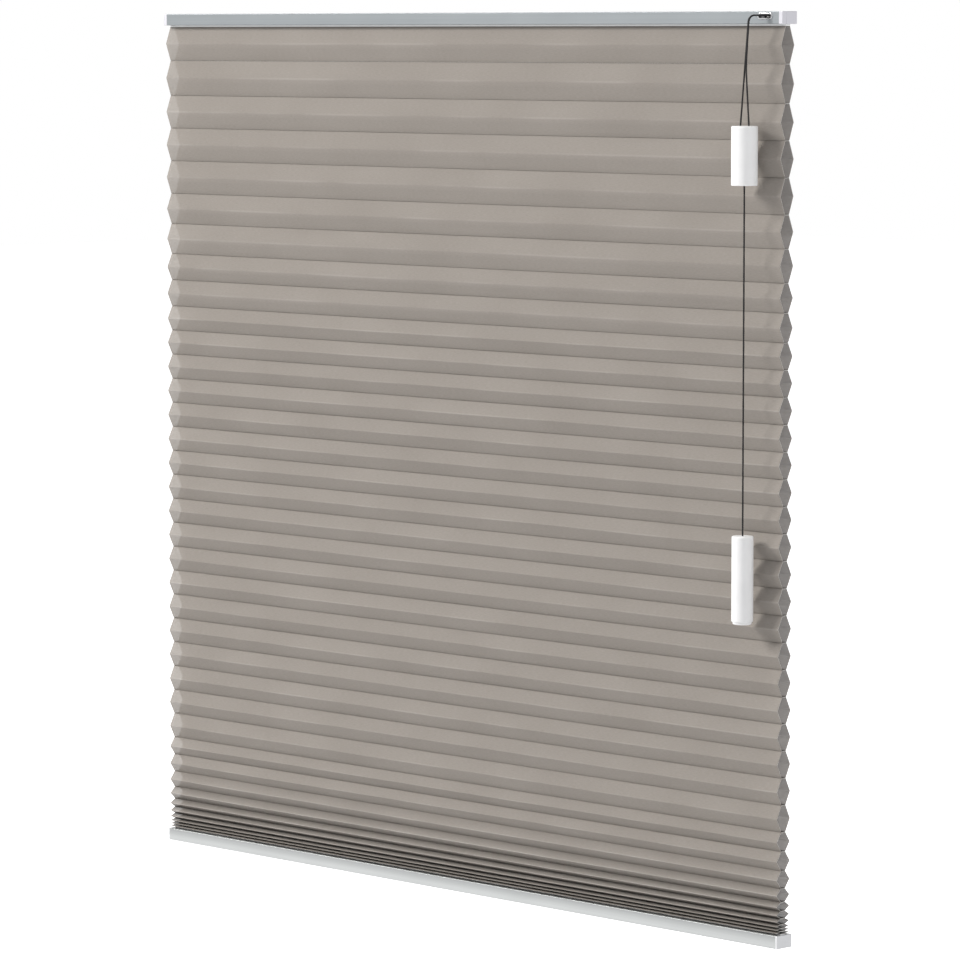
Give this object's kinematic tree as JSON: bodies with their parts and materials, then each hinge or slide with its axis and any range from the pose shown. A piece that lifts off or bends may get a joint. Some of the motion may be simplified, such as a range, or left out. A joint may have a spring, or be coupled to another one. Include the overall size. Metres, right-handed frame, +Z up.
{
  "type": "pleated blind",
  "caption": "Cord-operated pleated blind with diamond cells of fabric between a head rail and a bottom rail, with a cord condenser and a tassel.",
  "frame": {"origin": "middle of the head rail's top face, which is the face it is mounted by", "axes": "+X along the rails towards the cord side, +Y away from the room, +Z up out of the mounting face"},
  "size_m": [1, 0.054, 1],
  "materials": {
    "head_metal": "satin anodised",
    "foot_metal": "satin, pale",
    "head_cap_plastic": "moulded, silver grey",
    "foot_cap_plastic": "moulded, pale grey",
    "strip_plastic": "extruded, white",
    "blind_fabric": "non-woven, taupe, translucent",
    "exit_metal": "satin rim",
    "inner_plastic": "moulded, grey",
    "wheel_plastic": "moulded, off-white",
    "pin_steel": "ground",
    "ballast_steel": "galvanised",
    "cord_braid": "braided, near-black",
    "white_plastic": "moulded, white"
  },
  "bodies": {
    "head": {"head_rail": "head_metal", "head_cap_left": "head_cap_plastic", "head_cap_right": "head_cap_plastic", "fabric_top_strip": "strip_plastic", "cell_fabric": "blind_fabric", "cord_exit_plate": "exit_metal", "cord_lock_housing": "inner_plastic", "turning_pin": "pin_steel", "cord_guide_left": "inner_plastic", "cord_guide_right": "inner_plastic", "guide_pin_left": "pin_steel", "guide_pin_right": "pin_steel", "lift_cord_left": "cord_braid", "lift_cord_right": "cord_braid"},
    "bottom": {"bottom_rail": "foot_metal", "bottom_cap_left": "foot_cap_plastic", "bottom_cap_right": "foot_cap_plastic", "fabric_bottom_strip": "strip_plastic", "ballast_bar": "ballast_steel", "cord_anchor_left": "inner_plastic", "cord_anchor_right": "inner_plastic"},
    "pull": {"pull_cord": "cord_braid", "condenser_shell": "white_plastic", "condenser_base": "white_plastic", "tassel_shell": "white_plastic", "tassel_plug": "white_plastic"},
    "turning_wheel": {"turning_wheel": "wheel_plastic"},
    "guide_wheel_left": {"guide_wheel_left": "wheel_plastic"},
    "guide_wheel_right": {"guide_wheel_right": "wheel_plastic"},
    "grip_roller": {"grip_roller": "pin_steel"}
  },
  "joints": [
    {"name": "bottom_rail_lift", "type": "slide", "parent": "head", "child": "bottom", "axis": [0, 0, 1], "range_m": [0, 0.85], "deforming": ["cell_fabric", "lift_cord_left", "lift_cord_right"]},
    {"name": "cord_pull", "type": "slide", "parent": "head", "child": "pull", "axis": [0, 0, -1], "range_m": [0, 0.85]},
    {"name": "turning_wheel_spin", "type": "hinge", "parent": "head", "child": "turning_wheel", "pos_m": [0.47795, -0.00497, -0.0043], "axis": [0, 0, 1], "continuous": true},
    {"name": "guide_wheel_left_spin", "type": "hinge", "parent": "head", "child": "guide_wheel_left", "pos_m": [-0.327, 0, -0.0073], "axis": [0, 1, 0], "continuous": true},
    {"name": "guide_wheel_right_spin", "type": "hinge", "parent": "head", "child": "guide_wheel_right", "pos_m": [0.333, 0, -0.0073], "axis": [0, 1, 0], "continuous": true},
    {"name": "grip_roller_slide", "type": "slide", "parent": "head", "child": "grip_roller", "axis": [0.9063, 0, -0.4226], "range_m": [0, 0.0022]}
  ],
  "couplings": [
    {"joint": "cord_pull", "follows": "bottom_rail_lift", "ratio": 1},
    {"joint": "turning_wheel_spin", "follows": "bottom_rail_lift", "rad_per_m": -238.09},
    {"joint": "guide_wheel_left_spin", "follows": "bottom_rail_lift", "rad_per_m": 333.33},
    {"joint": "guide_wheel_right_spin", "follows": "bottom_rail_lift", "rad_per_m": 333.33}
  ]
}
